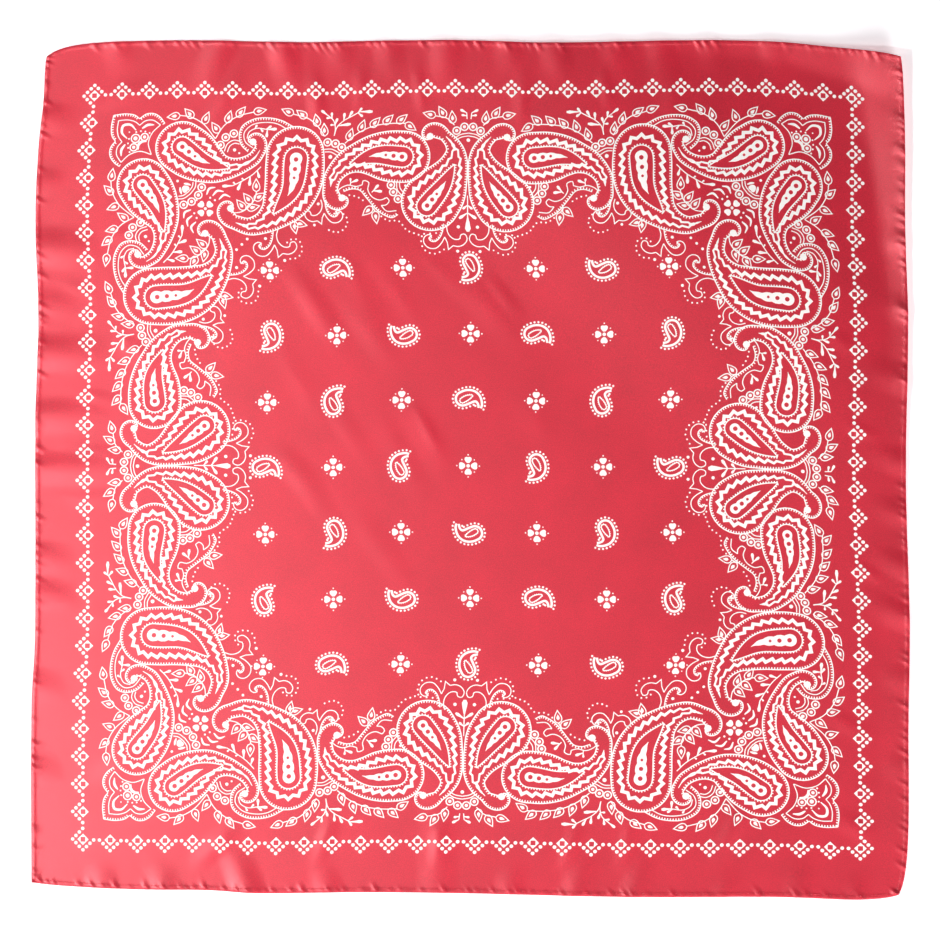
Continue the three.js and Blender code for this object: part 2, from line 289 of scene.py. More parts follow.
# (from, to, half width, height)
CREASES = [
    ((-246, 228), (-196, 250), 9, 0.5), ((-238, 150), (-200, 146), 8, 0.28),
    ((-228, 86), (-196, 60), 8, 0.28), ((-262, 118), (-232, 108), 6, 0.22),
    ((-258, 48), (-214, 40), 6, 0.25), ((-262, 12), (-206, 6), 6, 0.22),
    ((-260, -24), (-218, -20), 6, 0.22), ((-250, -104), (-214, -92), 8, 0.22),
    ((-240, -206), (-196, -180), 12, 0.5), ((-176, -262), (-140, -226), 9, 0.75),
    ((-98, -262), (-82, -214), 7, 0.6), ((-21, -262), (-18, -224), 7, 0.68),
    ((56, -262), (70, -222), 7, 0.75), ((92, -262), (104, -216), 7, 0.68),
    ((150, -258), (176, -206), 9, 0.75), ((222, -216), (256, -236), 9, 0.5),
    ((256, -172), (214, -150), 8, 0.4), ((262, -70), (234, -56), 6, 0.45),
    ((262, 22), (230, 34), 6, 0.4), ((250, 72), (214, 96), 8, 0.45),
    ((214, 236), (176, 204), 10, 0.5), ((132, 262), (120, 214), 8, 0.75),
    ((82, 262), (86, 226), 6, 0.6), ((34, 262), (28, 214), 7, 0.68),
    ((-36, 262), (-32, 222), 6, 0.68), ((-70, 262), (-74, 226), 6, 0.6),
    ((-104, 262), (-96, 210), 8, 0.75), ((-142, 262), (-172, 214), 8, 0.75),
    ((-74, 220), (-82, 160), 8, 0.4), ((4, 130), (34, 92), 7, 0.35), ((-38, 44), (-16, 2), 6, 0.3),
    ((-128, 150), (-76, 66), 9, 0.16), ((-98, 156), (-44, 74), 10, 0.2),
    ((-66, 140), (-26, 80), 9, 0.16), ((-40, 150), (4, 96), 8, 0.14),
    ((-132, 96), (-84, 14), 10, 0.16), ((-104, 66), (-58, -8), 9, 0.18),
    ((-64, 44), (-22, -34), 11, 0.16), ((-122, 18), (-78, -52), 10, 0.14),
    ((-84, -12), (-30, -92), 12, 0.18), ((20, 60), (60, 6), 13, 0.14),
]


def relief(s, t):
    """How far the sheet's finer form stands above the solid's."""
    up = puckers(s, t)[0]
    for row in SWELLS + CREASES:
        up += ridge(s, t, *row)
    return up


def surface(s, t, above):
    """Points of the cloth in metres, at a height above its underside."""
    x, y = plan(s, t)
    return np.stack([x, y, lift(s, t) + relief(s, t) + above], -1) * MM


print(f"{len(CREASES)} creases, and a pucker each {PUCKER_PITCH} mm of hem")


# %% [markdown]
# ## Meshes from rows of points
# Blender takes a mesh as lists of points and faces. We work these out with NumPy, which handles
# a hundred thousand points in the time that a Python loop takes for a few hundred.

# %% Helper that makes a piece
def make_piece(name, points, triangles, smooth_shading=True):
    mesh = bpy.data.meshes.new(name)
    mesh.vertices.add(len(points))
    mesh.vertices.foreach_set("co", np.asarray(points, np.float32).ravel())
    mesh.loops.add(3 * len(triangles))
    mesh.loops.foreach_set("vertex_index", np.asarray(triangles, np.int32).ravel())
    mesh.polygons.add(len(triangles))
    mesh.polygons.foreach_set("loop_start", np.arange(0, 3 * len(triangles), 3, dtype=np.int32))
    mesh.polygons.foreach_set("use_smooth", np.full(len(triangles), smooth_shading))
    mesh.update(calc_edges=True)
    mesh.validate()
    piece = bpy.data.objects.new(name, mesh)
    bpy.context.scene.collection.objects.link(piece)
    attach(piece, "root")
    print(f"{name}: {len(points)} points, {len(triangles)} triangles")
    return piece


# %% [markdown]
# ## The satin panel
# The real panel is one layer of cloth. We build it as a thin closed shell: an upper net that is
# fine along the hem, where the puckers are, and a coarser lower net that nobody sees. Both are made
# of square rings, and the innermost ring is filled with an even grid. Where a ring has half as
# many steps as the one outside it, three triangles join each pair of steps.

# %% Nets of square rings
CLOTH = 0.5
HEM_WIDTH = 3.4
ROLL_HEIGHT = 0.18
EDGE = 0.05
FINE_RINGS = [EDGE, 0.5, 1.1, 1.7, 2.3, 2.9, 3.5, 4.6, 6.2, 8.2, 10.6, 13.4]
TOP_RINGS = [(inset, 448) for inset in FINE_RINGS] + [(16.4, 224)]
UNDER_RINGS = [(EDGE, 448), (HEM_WIDTH / 2, 224), (HEM_WIDTH, 224), (12, 112)]


def roll(s, t):
    """How far the roll beneath the edge holds the cloth up."""
    depth = HALF - np.maximum(np.abs(s), np.abs(t))
    return ROLL_HEIGHT * bump(2 * depth / HEM_WIDTH - 1)


def ring_places(inset, steps):
    a = HALF - inset
    u = np.linspace(-a, a, steps + 1)[:-1]
    edge = np.full(steps, a)
    return np.concatenate([
        np.stack([u, -edge], 1), np.stack([edge, u], 1),
        np.stack([-u, edge], 1), np.stack([-edge, -u], 1),
    ])


def net(rings):
    """Places, and triangles that face up, of square rings filled with an even grid."""
    places = [ring_places(*ring) for ring in rings]
    starts = np.cumsum([0] + [len(ring) for ring in places])
    triangles = []
    for k in range(len(rings) - 1):
        outer, inner = len(places[k]), len(places[k + 1])
        i = np.arange(inner)
        p, q = starts[k + 1] + i, starts[k + 1] + (i + 1) % inner
        if outer == inner:
            a, b = starts[k] + i, starts[k] + (i + 1) % outer
            triangles += [np.stack([a, b, p], 1), np.stack([b, q, p], 1)]
        else:
            a, b, c = (starts[k] + (2 * i + j) % outer for j in range(3))
            triangles += [
                np.stack([a, b, p], 1), np.stack([b, q, p], 1), np.stack([b, c, q], 1),
            ]
    inset, n = rings[-1]
    u = np.linspace(inset - HALF, HALF - inset, n + 1)
    grid = np.full((n + 1, n + 1), -1)
    frame_ring = starts[-2] + np.arange(4 * n)
    grid[0, :n], grid[:n, n] = frame_ring[:n], frame_ring[n:2 * n]
    grid[n, n:0:-1], grid[n:0:-1, 0] = frame_ring[2 * n:3 * n], frame_ring[3 * n:]
    inside = grid < 0
    grid[inside] = starts[-1] + np.arange(inside.sum())
    t, s = np.meshgrid(u, u, indexing="ij")
    places.append(np.stack([s[inside], t[inside]], 1))
    a, b, c, d = grid[:-1, :-1], grid[:-1, 1:], grid[1:, 1:], grid[1:, :-1]
    for corners in ((a, b, d), (b, c, d)):
        triangles.append(np.stack([corner.ravel() for corner in corners], 1))
    return np.concatenate(places), np.concatenate(triangles)


# %% Panel
def shell(top_rings, under_rings):
    top, top_faces = net(top_rings)
    under, under_faces = net(under_rings)
    points = np.concatenate([
        surface(*top.T, CLOTH + roll(*top.T)), surface(*under.T, roll(*under.T)),
    ])
    under_faces = under_faces[:, ::-1] + len(top)
    rim = 4 * top_rings[0][1]
    i = np.arange(rim)
    j = (i + 1) % rim
    sides = [np.stack([i + len(top), j + len(top), j], 1), np.stack([i + len(top), j, i], 1)]
    return np.concatenate([top, under]), points, np.concatenate([top_faces, under_faces, *sides])


places, points, triangles = shell(TOP_RINGS, UNDER_RINGS)
panel = make_piece("satin_panel", points, triangles)
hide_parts("panel")
# Each point keeps how much painted shade the satin gets in the valleys between the hem's gathers.
tuck_shade_layer = panel.data.attributes.new("tuck_shade", "FLOAT", "POINT")
tuck_shade_layer.data.foreach_set("value", puckers(*places.T)[1].astype(np.float32))

# %% [markdown]
# ## The rolled hems
# A rolled hem is the edge of the cloth turned under twice, so the face runs on over a narrow soft
# roll and ends at the fold. We carry the section of that roll along each side, just beneath the
# face, and let it rise and fall with the cloth.

# %% Hems
SEAM_GAP = 0.3
# (distance in from the edge, height as a share of the roll's)
HEM_SECTION = [(3.3, 0.03), (2.6, 0.4), (1.7, 0.85), (0.9, 0.4), (0.25, 0.03), (0.25, 0), (3.3, 0)]
HEM_STEPS = 448
HEMS = {
    "hem_bottom": lambda place, inset: (place, inset - HALF),
    "hem_right": lambda place, inset: (HALF - inset, place),
    "hem_top": lambda place, inset: (-place, HALF - inset),
    "hem_left": lambda place, inset: (inset - HALF, -place),
}


def hem(flat_place):
    inset, share = np.array(HEM_SECTION).T
    run = np.linspace(-1, 1, HEM_STEPS + 1)[:, None]
    place = run * (HALF - inset - SEAM_GAP / 2)
    s, t = flat_place(place, inset + 0 * place)
    points = surface(s, t, share * ROLL_HEIGHT).reshape(-1, 3)
    sides = len(HEM_SECTION)
    i, j = (x.ravel() for x in np.meshgrid(np.arange(HEM_STEPS), np.arange(sides), indexing="ij"))
    a, b = i * sides + j, i * sides + (j + 1) % sides
    c, d = b + sides, a + sides
    ends = [(0, k + 1, k) for k in range(1, sides - 1)]
    last = HEM_STEPS * sides
    ends += [(last, last + k, last + k + 1) for k in range(1, sides - 1)]
    return points, np.concatenate([np.stack([a, b, c], 1), np.stack([a, c, d], 1), ends])


hems = []
for node, flat_place in HEMS.items():
    piece = make_piece("rolled_" + node, *hem(flat_place))
    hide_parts(node)
    hems.append(piece)

# %% [markdown]
# ## White marks
# A bandana is printed through a stencil, so its white is a film of ink on top of the cloth. Each
# mark is one of a few kinds: a line of a width, teeth on a line, a zigzag, a dot or a filled shape.
# We draw them on the flat square, where they are simple, and lay them on the cloth afterwards.
# Each mark lies a few thousandths of a millimetre above the last, so that no two share a plane
# where they cross, and after forty marks the count starts again.

# %% Lines through a few points
INK = 0.13
INK_LAYER = 0.003
INK_LAYERS = 40
MARK_STEP = 1.3
FINE = 0.65


def unit(v):
    return v / np.maximum(np.hypot(*v.T), 1e-9)[:, None]


def left_of(v):
    return np.stack([-v[:, 1], v[:, 0]], 1)


def lengths(points):
    """How far along a line each of its points is."""
    return np.concatenate([[0], np.cumsum(np.hypot(*np.diff(points[:, :2], axis=0).T))])


def at_place(points, place):
    """The points of a line at some distances along it."""
    return np.stack([np.interp(place, lengths(points), column) for column in points.T], 1)


def curve(points, step=MARK_STEP, closed=False):
    """A smooth line through points, with even steps. A width beside x and y is smoothed too."""
    points = np.asarray(points, float)
    if closed:
        points = np.vstack([points[-2:], points, points[:3]])
    at = lengths(points)
    slope = np.gradient(points, at, axis=0)
    first, last = (at[2], at[-3]) if closed else (at[0], at[-1])
    u = np.linspace(first, last, max(4, round((last - first) / step) + 1))
    k = np.clip(np.searchsorted(at, u, side="right") - 1, 0, len(at) - 2)
    span = (at[k + 1] - at[k])[:, None]
    v = (u - at[k])[:, None] / span
    line = (
        points[k] * (2 * v**3 - 3 * v**2 + 1) + points[k + 1] * (3 * v**2 - 2 * v**3)
        + slope[k] * span * (v**3 - 2 * v**2 + v) + slope[k + 1] * span * (v**3 - v**2)
    )
    return line[:-1] if closed else line


def winding(centre, start, radius, degrees):
    """A line that winds round a centre from a point, and ends at a distance from it."""
    a = np.subtract(start, centre)
    share = np.linspace(0, 1, 4 + int(abs(degrees) / 14))
    angle = math.atan2(a[1], a[0]) + math.radians(degrees) * share
    reach = math.hypot(*a) + (radius - math.hypot(*a)) * share**0.85
    return centre + np.stack([np.cos(angle), np.sin(angle)], 1) * reach[:, None]


def round_head(centre, start, end, turn):
    """The arc round a centre from one point to another, turning left for 1 and right for -1."""
    a, b = (np.degrees(np.arctan2(*(point - centre)[::-1])) for point in (start, end))
    return winding(centre, start, np.hypot(*(end - centre)), turn * (turn * (b - a) % 360))


def outline(spine, turn=1):
    """The line round a shape, given as a spine of x, y and half width, from tail to tail."""
    at = lengths(spine)
    along = unit(np.gradient(spine[:, :2], at, axis=0))
    slope = np.clip(np.gradient(spine[:, 2], at), -0.9, 0.9)[:, None]
    middle = spine[:, :2] - along * slope * spine[:, 2:]
    across = left_of(along) * np.sqrt(1 - slope**2) * spine[:, 2:] * turn
    first, last = middle + across, middle - across
    head = round_head(spine[0, :2], first[0], last[0], turn)
    return np.vstack([first[::-1], head[1:-1], last])


def zigzag(path, side, pitch=5.7, reach=1.1, lean=1.3):
    """A zigzag along a line, whose outer points lean away from its middle."""
    length = lengths(path)[-1]
    count = 2 * max(2, round(length / pitch)) + 1
    place = np.linspace(0, length, count)
    outer = np.arange(count) % 2
    aside = place - length / 2
    place = place + outer * lean * np.sign(aside) * smooth(np.abs(aside) / 22)
    points = at_place(path, place)
    out = left_of(unit(at_place(path, place + 0.3) - at_place(path, place - 0.3))) * side
    reach = reach * (0.45 + 0.55 * smooth((length / 2 - np.abs(aside)) / 30))
    return points + out * (reach * (2 * outer - 1))[:, None]


# %% Pen
class Pen:
    """Marks on the flat square: points, with the layer that each lies in, and triangles."""

    def __init__(self):
        self.points, self.triangles, self.count = [], [], 0

    def add(self, points, triangles):
        points = np.asarray(points, float).reshape(-1, 2)
        layer = np.full(len(points), len(self.points) % INK_LAYERS)
        self.join(np.column_stack([points, layer]), np.asarray(triangles).reshape(-1, 3))

    def join(self, points, triangles):
        """Adds marks that have their layers already."""
        self.points.append(points)
        self.triangles.append(triangles + self.count)
        self.count += len(points)

    def line(self, path, width=FINE, closed=False):
        path = np.asarray(path, float)
        before = np.vstack([path[-1:] if closed else 2 * path[:1] - path[1:2], path[:-1]])
        after = np.vstack([path[1:], path[:1] if closed else 2 * path[-1:] - path[-2:-1]])
        a, b = left_of(unit(path - before)), left_of(unit(after - path))
        across = unit(a + b)
        reach = width / 2 / np.maximum(0.5, (across * a).sum(1))
        offset = across * np.reshape(reach, (-1, 1))
        n = len(path)
        i = np.arange(n if closed else n - 1)
        j = (i + 1) % n
        faces = np.vstack([np.stack([i, i + n, j + n], 1), np.stack([i, j + n, j], 1)])
        self.add(np.vstack([path + offset, path - offset]), faces)

    def teeth(self, path, side, length=1.15, pitch=1.72, width=0.85):
        """A comb of small teeth on one side of a line: left for 1, right for -1."""
        place = np.arange(pitch / 2, lengths(path)[-1], pitch)
        root = at_place(path, place)
        along = unit(at_place(path, place + 0.3) - at_place(path, place - 0.3))
        tip = root + left_of(along) * side * (length + FINE / 2)
        foot, top = along * width / 2, along * width / 2.6
        corners = np.stack([root - foot, root + foot, tip + top, tip - top], 1)
        first = 4 * np.arange(len(root))[:, None, None]
        self.add(corners, first + np.array([(0, 1, 2), (0, 2, 3)]))

    def dots(self, places, radius=0.65):
        angle = np.arange(8) * math.pi / 4
        ring = radius * np.stack([np.cos(angle), np.sin(angle)], 1)
        corners = np.asarray(places, float).reshape(-1, 1, 2) + ring
        first = 8 * np.arange(len(corners))[:, None, None]
        self.add(corners, first + np.array([(0, k, k + 1) for k in range(1, 7)]))

    def fill(self, edge, holes=()):
        """The inside of a closed line, less some holes."""
        loops = [np.asarray(loop, float) for loop in (edge, *holes)]
        starts = np.cumsum([0] + [len(loop) for loop in loops])
        rims = [
            (start + k, start + (k + 1) % len(loop))
            for start, loop in zip(starts, loops) for k in range(len(loop))
        ]
        flat = [Vector(point) for point in np.vstack(loops)]
        points, _, faces, *_ = delaunay_2d_cdt(flat, rims, [], 1, 1e-4)
        points = np.array([tuple(point) for point in points])
        faces = np.array([face for face in faces if len(face) == 3])
        middle = points[faces].mean(1)
        kept = inside(middle, loops[0])
        for hole in loops[1:]:
            kept &= ~inside(middle, hole)
        self.add(points, faces[kept])

    def ring(self, place, radius, width):
        self.line(circle(place, radius), width, closed=True)

    def leaf(self, base, tip, full=0.28):
        """A leaf: a line round it, and a drop inside."""
        run = np.subtract(tip, base)
        share = np.linspace(0, 1, 9)[:, None]
        half = full * np.sin(math.pi * share**0.65) * left_of(run[None])
        middle = base + share * run
        edge = np.vstack([middle + half, (middle - half)[-2:0:-1]])
        self.line(edge, FINE, closed=True)
        heart = base + 0.44 * run
        self.fill(heart + 0.45 * (edge[::2] - heart))

    def copies(self, mirrored=True):
        """The marks carried round the square by quarter turns, and mirrored if asked."""
        points, triangles = self.flat()
        whole = Pen()
        for quarter in range(4):
            points = points[:, [1, 0, 2]] * [1, -1, 1]
            for copy in (points, points * [-1, 1, 1]) if mirrored else (points,):
                whole.join(copy + [0, 0, 0.45 * len(whole.points)], triangles)
        return whole

    def flat(self):
        return np.vstack(self.points), np.vstack(self.triangles)


def inside(points, loop):
    """Whether points lie inside a closed line, by counting its crossings to their right."""
    x, y = points[:, :1], points[:, 1:]
    (x0, y0), (x1, y1) = loop.T, np.roll(loop, -1, 0).T
    spans = (y0 > y) != (y1 > y)
    with np.errstate(divide="ignore", invalid="ignore"):
        crossing = x0 + (y - y0) * (x1 - x0) / (y1 - y0)
    return (spans & (crossing > x)).sum(1) % 2 == 1


def circle(place, radius, count=12):
    u = np.arange(count) * 2 * math.pi / count
    return place + radius * np.stack([np.cos(u), np.sin(u)], 1)


# %% [markdown]
# ## Where the print lies
# The square frame of the print isn't quite square: the cloth stretched a little under the stencil
# and again on the table. We measured how far the frame's middle and corners have strayed, and a
# smooth curve through these values carries every mark there.

# %% Drift of the print
FRAME_HALF = 238.8
# (rows from bottom to top, columns from left to right)
DRIFT_S = [(-2.5, -5.7, 5.1), (-1.6, -1.3, 1.8), (-2.3, -2.6, 1.7)]
DRIFT_T = [(-3.7, -1.4, -1.5), (-1.2, 1, -0.9), (0.1, 2, 3)]


def drift(table, s, t):
    u, v = s / FRAME_HALF, t / FRAME_HALF
    across = u * (u - 1) / 2, 1 - u**2, u * (u + 1) / 2
    upward = v * (v - 1) / 2, 1 - v**2, v * (v + 1) / 2
    return sum(upward[i] * across[j] * table[i][j] for i in range(3) for j in range(3))


def print_piece(name, pen, drifted=True):
    """Lays marks on the cloth as a piece of its own."""
    points, triangles = pen.flat()
    s, t, layer = points.T
    if drifted:
        s, t = s + drift(DRIFT_S, s, t), t + drift(DRIFT_T, s, t)
    a, b, c = (np.stack([s, t], 1)[triangles[:, k]] for k in range(3))
    down = (b - a)[:, 0] * (c - a)[:, 1] < (b - a)[:, 1] * (c - a)[:, 0]
    triangles[down] = triangles[down, ::-1]
    return make_piece(name, surface(s, t, CLOTH + INK + INK_LAYER * layer), triangles)


# %% [markdown]
# ## The border of diamonds
# A chain of small open diamonds runs round the print, with a chevron of dots outside each. It is
# the plainest of the print's parts: one diamond and its dots, set out 28 to a side.

# %% Border
DIAMONDS = 27
DIAMOND_HALF = 3.7
DIAMOND_HOLE = 1.5
DOT = 1.2
# (along the side, outwards) of one half of a chevron, from its peak
CHEVRON = [(0, 6.7), (2.3, 4.6), (4.6, 2.4), (7, 0.2)]


def diamond(pen, s, t):
    corners = np.array([(1, 0), (0, 1), (-1, 0), (0, -1)]) * DIAMOND_HALF
    hole = np.array([(1, 1), (-1, 1), (-1, -1), (1, -1)]) * DIAMOND_HOLE
    pen.fill((s, t) + corners, [(s, t) + hole])


def chevron(pen, s, t, out, side, rows=CHEVRON):
    """Dots outside a diamond, from the peak down one side of it."""
    x, y = out
    pen.dots([(s + x * far - y * near * side, t + y * far + x * near * side) for near, far in rows],
             DOT)


border = Pen()
for k in range(DIAMONDS):
    s, t, out = 2 * FRAME_HALF * k / DIAMONDS - FRAME_HALF, FRAME_HALF, (0, 1)
    for side in range(4):
        diamond(border, s, t)
        chevron(border, s, t, out, -1)
        if k:
            chevron(border, s, t, out, 1, CHEVRON[1:])
        else:
            chevron(border, s, t, out, 1, CHEVRON[1:3])
            chevron(border, s, t, (-out[1], out[0]), 1)
        s, t, out = t, -s, (out[1], -out[0])
print_border = print_piece("print_border", border)

# %% [markdown]
# ## Small paisleys and flowers
# The field is a chequerboard of seven by seven: small four-petalled flowers, and between them
# small paisleys that face all four ways. Both are drawn once at the middle and carried to their
# places, and the paisleys are turned by quarter turns in an order of their own.

# %% Field
FIELD_PITCH = 42.4
FIELD_MIDDLE = (-1.5, 0.7)
FIELD_SKEW = 0.43
FIELD_SPREAD = 0.19
# Quarter turns of the paisleys, from the top row down and from left to right
PAISLEY_TURNS = [(2, 1, 0), (1, 0, 2, 1), (3, 2, 3), (2, 3, 1, 0), (1, 0, 1), (3, 0, 2, 3), (2, 3, 0)]
# (x, y, half width)
SMALL_SPINE = [(3.8, -0.6, 4.4), (1, -1.8, 4.4), (-2, -2.3, 3.6), (-4.6, -1.5, 2.5), (-6.6, 0.9, 1.5),
               (-7.2, 3.6, 1.05), (-7, 5, 0.7)]
SMALL_LEAF = [(4, 0.5, 1.6), (2, -0.7, 1.7), (-0.5, -2, 1.1), (-2.2, -2.7, 0.3)]


def small_paisley():
    pen = Pen()
    spine = curve(SMALL_SPINE, 0.9)
    edge = outline(spine)
    pen.line(edge, 1.45)
    halo = outline(np.column_stack([spine[:, :2], spine[:, 2] + 1.9]))
    pen.dots(at_place(halo, np.arange(0, lengths(halo)[-1], 2.45)), 0.72)
    leaf = outline(curve(SMALL_LEAF, 0.8))
    pen.line(leaf, 0.7, closed=True)
    pen.teeth(leaf, -1, 0.35, 1.25, 0.6)
    return pen


def petal(pen, place, way, size=1):
    """A heart-shaped petal that points along a direction."""
    x, y = np.array(way) / np.hypot(*way)
    # (outwards, half width)
    profile = np.array([(-1.9, 0.7), (-1, 1.6), (0.2, 2.2), (1.3, 2.1), (1.9, 1.2), (1.7, 0)]) * size
    edge = [(out, half) for out, half in profile] + [(out, -half) for out, half in profile[-2::-1]]
    out, half = np.array(edge).T
    pen.fill(np.stack([place[0] + x * out - y * half, place[1] + y * out + x * half], 1))


def small_flower():
    pen = Pen()
    for x, y in ((1, 0), (0, 1), (-1, 0), (0, -1)):
        petal(pen, (3.8 * x, 3.8 * y), (x, y), 1.03)
        pen.dots([(7.1 * x, 7.1 * y)], 0.5)
        pen.dots([(3.9 * (x - y), 3.9 * (x + y))], 0.45)
    pen.dots([(0, 0)], 1.2)
    return pen


def field():
    whole = Pen()
    motifs = {"flower": small_flower().flat(), "paisley": small_paisley().flat()}
    for row in range(7):
        turns = iter(PAISLEY_TURNS[row])
        for column in range(7):
            is_flower = (row + column) % 2 == 0
            points, triangles = motifs["flower" if is_flower else "paisley"]
            x, y, layer = points.T
            for _ in range(0 if is_flower else next(turns)):
                x, y = -y, x
            i, j = column - 3, 3 - row
            s = FIELD_MIDDLE[0] + (FIELD_PITCH - FIELD_SPREAD * j) * i
            t = FIELD_MIDDLE[1] + FIELD_PITCH * j + FIELD_SKEW * i
            whole.join(np.stack([s + x, t + y, layer], 1), triangles)
    return whole


print_field = print_piece("print_field", field(), drifted=False)

# %% [markdown]
# ## Large paisleys
# The wide frame between border and field has four large paisleys in each eighth of the square, and
# is mirrored round. A paisley is a spine with a half width at each place, like a tadpole: its
# line goes round the head, back along the tail, and winds into a bulb. Inside it are a zigzag
# band, a toothed ring and a solid drop with three holes, all on the same spine.

# %% Large paisleys
ZIGZAG_INSET = 4
ZIGZAG_SHARE = 0.88
# (place as a share of the drop, radius) of the holes in the solid drop
DROP_HOLES = [(0.02, 1.5), (0.27, 1.4), (0.5, 0.9)]


def drop(spine, half, scallops=0):
    """A drop on a spine, round at its start, with a point at its end."""
    share = np.linspace(0, 1, max(8, round(lengths(spine)[-1] / 1.1)))
    part = at_place(spine, share * lengths(spine)[-1])
    swell = 1 + 0.13 * np.cos(2 * math.pi * scallops * share)
    return np.column_stack([part, np.maximum(0.15, half * (1 - share**2.2) * swell)])


def paisley(pen, spine, bulb, turn, heart, tip, ring, core):
    """A large paisley: its spine, where its tail winds in, and the drops from heart to tip."""
    spine = curve(spine)
    at = lengths(spine)
    edge = outline(spine, turn)
    tail = winding(np.array(bulb), edge[-1], 2.1, turn * 235)
    edge = np.vstack([[bulb], edge, tail[1:]])
    pen.line(edge, 0.75)
    pen.teeth(edge, turn)
    pen.dots([bulb], 2.3)

    forward = unit(spine[1:2, :2] - spine[:1, :2])[0]
    start = max(0, 0.75 * forward @ (heart - spine[0, :2]))
    band = at_place(spine, np.arange(start, at[-1], 1))
    band[:, 2] = ZIGZAG_SHARE * (band[:, 2] - ZIGZAG_INSET)
    ends = np.argmax(band[:, 2] < 0.9) or len(band)
    teeth = zigzag(outline(band[:ends], turn), -turn)
    to_end = np.minimum(lengths(teeth), lengths(teeth)[-1] - lengths(teeth))
    pen.line(teeth, 1.15 + 0.9 * smooth(to_end / 32))
    strand = band[ends - 2:]
    share = np.linspace(0, 1, len(strand))
    across = left_of(unit(np.gradient(strand[:, :2], axis=0)))
    part = (0.85 * np.abs(np.cos(3 * math.pi * share)) * (1 - share))[:, None] * across
    for side in (1, -1):
        pen.line(strand[:, :2] + side * part, 1.3 - 0.9 * share)

    middle = spine[np.argmin(np.hypot(*(spine[:, :2] - np.add(heart, tip) / 2).T)), :2]
    thread = curve([heart, middle, tip])
    inner = outline(drop(thread, ring), turn)
    pen.line(inner, 0.75)
    pen.teeth(inner, -turn, 0.8)
    solid = drop(at_place(thread, np.linspace(0, 0.62, 16) * lengths(thread)[-1]), core, 3.8)
    holes = [
        circle(at_place(solid, [share * lengths(solid)[-1]])[0, :2], radius, count=8)
        for share, radius in DROP_HOLES
    ]
    pen.fill(outline(solid), holes)


eighth = Pen()
paisley(eighth, [(-181, 204.5, 16), (-174.2, 200, 16), (-166.5, 195, 13.3), (-159, 191.3, 9.8),
                 (-149.8, 190.8, 6.5), (-141, 193.3, 4.6), (-134.2, 197.7, 4), (-130.8, 203, 3.6)],
        (-135.6, 207.9), 1, (-180.5, 204.5), (-149.5, 190.5), 5.5, 2.9)
paisley(eighth, [(-108.6, 200, 18), (-108.6, 192, 18.4), (-109.2, 183, 17.8), (-112.5, 172.9, 15.1),
                 (-119, 163.3, 10.3), (-127.4, 156.6, 6.9), (-137, 153.6, 5.3), (-146, 156, 4.4)],
        (-148.6, 164.9), -1, (-108, 197.3), (-122, 161.5), 6.5, 3.5)
paisley(eighth, [(-40.3, 197, 16.4), (-49, 197.6, 16), (-58, 198.4, 13.2), (-67, 197.5, 9.9),
                 (-75.5, 194.5, 7.6), (-81, 190, 6.2), (-85, 184, 5.3), (-86, 178, 4.5)],
        (-78.6, 171.4), 1, (-41, 197), (-74.5, 193), 5.9, 2.7)
paisley(eighth, [(-23, 168, 18.4), (-18.5, 173.5, 17), (-14.5, 179.8, 13.8), (-10.5, 187.5, 10.2),
                 (-8.3, 194, 7.8), (-8, 200.5, 5.5), (-10.3, 205.6, 4.2), (-14.3, 210, 3.4)],
        (-24.1, 209.9), 1, (-25.5, 165.3), (-8.2, 192), 5.6, 2.8)
print(f"four large paisleys: {eighth.count} points")

# %% [markdown]
# ## Leaves, twigs and fans
# The gaps between the paisleys are filled as an engraver would fill them: leafy stems along the
# outer edge, twigs with little clubs for buds, and fans of ring petals over double arcs. A leaf or
# a bud is given by its share of the way along its stem and by how far it leans from it.

# %% Leafy stems and twigs
LEAF_LENGTH = 8.2
# (points of the stem, leaves as (share of the way, lean in degrees))
STEMS = [
    ([(-159.5, 209.5), (-168.5, 219.5), (-176.5, 223.5), (-183, 224.5)],
     [(0.43, -72), (0.7, -24), (1, 15)]),
    ([(-159.5, 209.5), (-154.5, 218), (-146.5, 224), (-136.5, 227)],
     [(0.14, 64), (0.4, 34), (0.64, 24), (1, -4)]),
    ([(-90.5, 211.5), (-94, 216.5), (-100.5, 222.5), (-111, 226)],
     [(0, -28), (0.3, -28), (0.66, -14), (1, -5)]),
    ([(-77.5, 206.5), (-70, 212.5), (-60, 217), (-50, 218.5), (-40, 218.5)],
     [(0.06, 33), (0.28, 42), (0.46, 28), (0.66, 38), (0.87, 42), (1, -33)]),
    ([(-9, 217), (-14, 221.5), (-21, 223)], [(0.1, -38), (0.56, -40), (1, -4)]),
    ([(-147, 162), (-141.5, 163), (-136, 167.5), (-133, 172.5), (-132.5, 176)],
     [(1, 8), (0.75, -28), (0.62, 76), (0.36, 94), (0.42, -28)]),
    ([(-109.3, 157.2), (-108.6, 156.4)], [(0, -30), (1, 34)]),
    ([(-60, 166), (-58, 162.5)], [(0.2, -78), (1, -22)]),
]
